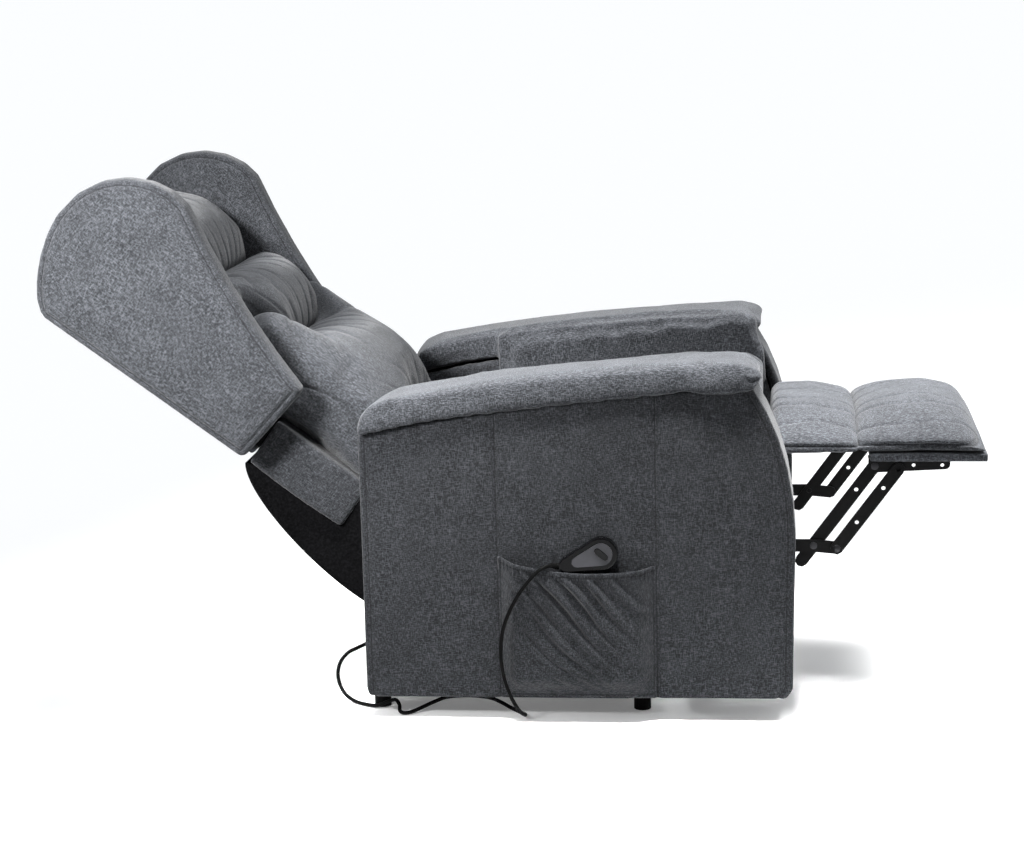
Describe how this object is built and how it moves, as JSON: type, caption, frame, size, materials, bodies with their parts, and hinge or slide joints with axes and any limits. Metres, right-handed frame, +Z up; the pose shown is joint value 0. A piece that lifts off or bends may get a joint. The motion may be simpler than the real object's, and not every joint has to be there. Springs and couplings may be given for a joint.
{
  "type": "lift recliner chair",
  "caption": "Upholstered wing-back lift recliner chair shown fully reclined, with a pull-out legrest, lift base, side pocket and corded hand control.",
  "frame": {"origin": "floor under the middle of the chair's box, with the back reclined, the legrest out and the lift down", "axes": "+X towards the sitter's feet, +Y to the sitter's left, +Z up"},
  "size_m": [1.6982, 0.7681, 0.9762],
  "materials": {
    "base_rail_right": "satin",
    "base_rail_left": "satin",
    "base_front_tube": "satin",
    "base_rear_tube": "satin",
    "foot_rear_right": "matte",
    "foot_rear_left": "matte",
    "foot_front_right": "matte",
    "foot_front_left": "matte",
    "lift_yoke": "satin",
    "tilt_link_right": "satin",
    "tilt_link_left": "satin",
    "chassis_plate_right": "satin",
    "chassis_plate_left": "satin",
    "chassis_rear_tube": "satin",
    "chassis_front_tube": "satin",
    "seat_deck": "matte",
    "seat_cushion": "matte",
    "control_box": "satin",
    "cord_gland": "matte",
    "arm_shell_right": "matte",
    "arm_shell_left": "matte",
    "arm_inner_panel_right": "matte",
    "arm_inner_panel_left": "matte",
    "arm_pad_right": "matte",
    "arm_pad_left": "matte",
    "side_pocket": "matte",
    "handset_shell": "gloss",
    "handset_face": "satin",
    "handset_cord": "matte",
    "dust_cover": "matte",
    "back_wing_right": "matte",
    "back_wing_left": "matte",
    "back_lower_box": "matte",
    "back_frame": "matte",
    "back_rear_panel": "matte",
    "back_lower_cushion": "matte",
    "back_lumbar_cushion": "matte",
    "back_head_cushion": "matte",
    "back_hinge_bracket_right": "satin",
    "back_hinge_bracket_left": "satin",
    "recline_lever": "satin",
    "legrest_swing_link_right": "satin",
    "legrest_swing_link_left": "satin",
    "legrest_torque_tube": "satin",
    "legrest_front_link_right": "satin",
    "legrest_front_link_left": "satin",
    "legrest_rear_link_right": "satin",
    "legrest_rear_link_left": "satin",
    "footrest_bracket_right": "satin",
    "footrest_bracket_left": "satin",
    "footrest_board": "matte",
    "footrest_cushion": "matte",
    "bridge_cushion": "matte",
    "lift_actuator_motor": "satin",
    "lift_actuator_rod": "polished",
    "recline_actuator_motor": "satin",
    "recline_actuator_rod": "polished",
    "legrest_actuator_motor": "satin",
    "legrest_actuator_rod": "polished",
    "handset_rocker": "matte"
  },
  "bodies": {
    "base": {"base_rail_right": "base_rail_right", "base_rail_left": "base_rail_left", "base_front_tube": "base_front_tube", "base_rear_tube": "base_rear_tube", "foot_rear_right": "foot_rear_right", "foot_rear_left": "foot_rear_left", "foot_front_right": "foot_front_right", "foot_front_left": "foot_front_left"},
    "lift_yoke": {"lift_yoke": "lift_yoke"},
    "tilt_links": {"tilt_link_right": "tilt_link_right", "tilt_link_left": "tilt_link_left"},
    "chair": {"chassis_plate_right": "chassis_plate_right", "chassis_plate_left": "chassis_plate_left", "chassis_rear_tube": "chassis_rear_tube", "chassis_front_tube": "chassis_front_tube", "seat_deck": "seat_deck", "seat_cushion": "seat_cushion", "control_box": "control_box", "cord_gland": "cord_gland", "arm_shell_right": "arm_shell_right", "arm_shell_left": "arm_shell_left", "arm_inner_panel_right": "arm_inner_panel_right", "arm_inner_panel_left": "arm_inner_panel_left", "arm_pad_right": "arm_pad_right", "arm_pad_left": "arm_pad_left", "side_pocket": "side_pocket", "handset_shell": "handset_shell", "handset_face": "handset_face", "handset_cord": "handset_cord", "dust_cover": "dust_cover"},
    "back": {"back_wing_right": "back_wing_right", "back_wing_left": "back_wing_left", "back_lower_box": "back_lower_box", "back_frame": "back_frame", "back_rear_panel": "back_rear_panel", "back_lower_cushion": "back_lower_cushion", "back_lumbar_cushion": "back_lumbar_cushion", "back_head_cushion": "back_head_cushion", "back_hinge_bracket_right": "back_hinge_bracket_right", "back_hinge_bracket_left": "back_hinge_bracket_left", "recline_lever": "recline_lever"},
    "legrest_swing": {"legrest_swing_link_right": "legrest_swing_link_right", "legrest_swing_link_left": "legrest_swing_link_left", "legrest_torque_tube": "legrest_torque_tube"},
    "front_links": {"legrest_front_link_right": "legrest_front_link_right", "legrest_front_link_left": "legrest_front_link_left"},
    "rear_links": {"legrest_rear_link_right": "legrest_rear_link_right", "legrest_rear_link_left": "legrest_rear_link_left"},
    "footrest": {"footrest_bracket_right": "footrest_bracket_right", "footrest_bracket_left": "footrest_bracket_left", "footrest_board": "footrest_board", "footrest_cushion": "footrest_cushion"},
    "bridge": {"bridge_cushion": "bridge_cushion"},
    "lift_motor": {"lift_actuator_motor": "lift_actuator_motor"},
    "lift_rod": {"lift_actuator_rod": "lift_actuator_rod"},
    "recline_motor": {"recline_actuator_motor": "recline_actuator_motor"},
    "recline_rod": {"recline_actuator_rod": "recline_actuator_rod"},
    "legrest_motor": {"legrest_actuator_motor": "legrest_actuator_motor"},
    "legrest_rod": {"legrest_actuator_rod": "legrest_actuator_rod"},
    "rocker": {"handset_rocker": "handset_rocker"}
  },
  "joints": [
    {"name": "lift", "type": "hinge", "parent": "base", "child": "lift_yoke", "pos_m": [-0.16485, 0.00825, 0.072], "axis": [0, -1, 0], "range_deg": [0, 50]},
    {"name": "chair_tilt", "type": "hinge", "parent": "lift_yoke", "child": "chair", "pos_m": [0.17115, 0.00825, 0.091], "axis": [0, 1, 0], "range_deg": [0, 75]},
    {"name": "tilt_link", "type": "hinge", "parent": "base", "child": "tilt_links", "pos_m": [0.03145, 0.00825, 0.068], "axis": [0, -1, 0], "range_deg": [0, 65.2]},
    {"name": "lift_actuator_pivot", "type": "hinge", "parent": "base", "child": "lift_motor", "pos_m": [0.20665, 0.00825, 0.078], "axis": [0, -1, 0], "range_deg": [0, 7.02]},
    {"name": "lift_actuator_stroke", "type": "slide", "parent": "lift_motor", "child": "lift_rod", "axis": [-0.9094, 0, 0.4158], "range_m": [0, 0.1264]},
    {"name": "recline", "type": "hinge", "parent": "chair", "child": "back", "pos_m": [-0.23495, 0.00825, 0.372], "axis": [0, 1, 0], "range_deg": [0, 45.7]},
    {"name": "recline_actuator_pivot", "type": "hinge", "parent": "chair", "child": "recline_motor", "pos_m": [0.25165, 0.10825, 0.285], "axis": [0, -1, 0], "range_deg": [0, 0.82]},
    {"name": "recline_actuator_stroke", "type": "slide", "parent": "recline_motor", "child": "recline_rod", "axis": [-0.9988, 0, -0.0495], "range_m": [0, 0.0967]},
    {"name": "legrest", "type": "hinge", "parent": "chair", "child": "legrest_swing", "pos_m": [0.36315, 0.00825, 0.288], "axis": [0, 1, 0], "range_deg": [0, 90]},
    {"name": "front_links", "type": "hinge", "parent": "legrest_swing", "child": "front_links", "pos_m": [0.54265, 0.00825, 0.288], "axis": [0, -1, 0], "range_deg": [0, 112.5]},
    {"name": "rear_links", "type": "hinge", "parent": "legrest_swing", "child": "rear_links", "pos_m": [0.58395, 0.00825, 0.284], "axis": [0, -1, 0], "range_deg": [0, 112.5]},
    {"name": "footrest", "type": "hinge", "parent": "front_links", "child": "footrest", "pos_m": [0.65125, 0.00825, 0.4353], "axis": [0, 1, 0], "range_deg": [0, 112.5]},
    {"name": "bridge", "type": "hinge", "parent": "chair", "child": "bridge", "pos_m": [0.46005, 0.00825, 0.5], "axis": [0, 1, 0], "range_deg": [0, 90]},
    {"name": "legrest_actuator_pivot", "type": "hinge", "parent": "chair", "child": "legrest_motor", "pos_m": [-0.14085, -0.09175, 0.205], "axis": [0, -1, 0], "range_deg": [0, 0.78]},
    {"name": "legrest_actuator_stroke", "type": "slide", "parent": "legrest_motor", "child": "legrest_rod", "axis": [0.9973, 0, 0.0741], "range_m": [-0.0845, 0]},
    {"name": "handset_rocker", "type": "hinge", "parent": "chair", "child": "rocker", "pos_m": [0.16965, -0.37415, 0.313], "axis": [0.6561, 0, 0.7547], "range_deg": [-4, 4], "stiffness_Nm_per_rad": 0.02}
  ],
  "couplings": [
    {"joint": "chair_tilt", "follows": "lift", "ratio": 1.5},
    {"joint": "tilt_link", "follows": "lift", "ratio": 1.304},
    {"joint": "lift_actuator_pivot", "follows": "lift", "ratio": 0.1404},
    {"joint": "lift_actuator_stroke", "follows": "lift", "m_per_rad": 0.14484},
    {"joint": "recline_actuator_pivot", "follows": "recline", "ratio": 0.01794},
    {"joint": "recline_actuator_stroke", "follows": "recline", "m_per_rad": 0.12124},
    {"joint": "front_links", "follows": "legrest", "ratio": 1.25},
    {"joint": "rear_links", "follows": "legrest", "ratio": 1.25},
    {"joint": "footrest", "follows": "legrest", "ratio": 1.25},
    {"joint": "bridge", "follows": "legrest", "ratio": 1},
    {"joint": "legrest_actuator_pivot", "follows": "legrest", "ratio": 0.00867},
    {"joint": "legrest_actuator_stroke", "follows": "legrest", "m_per_rad": -0.05379}
  ]
}
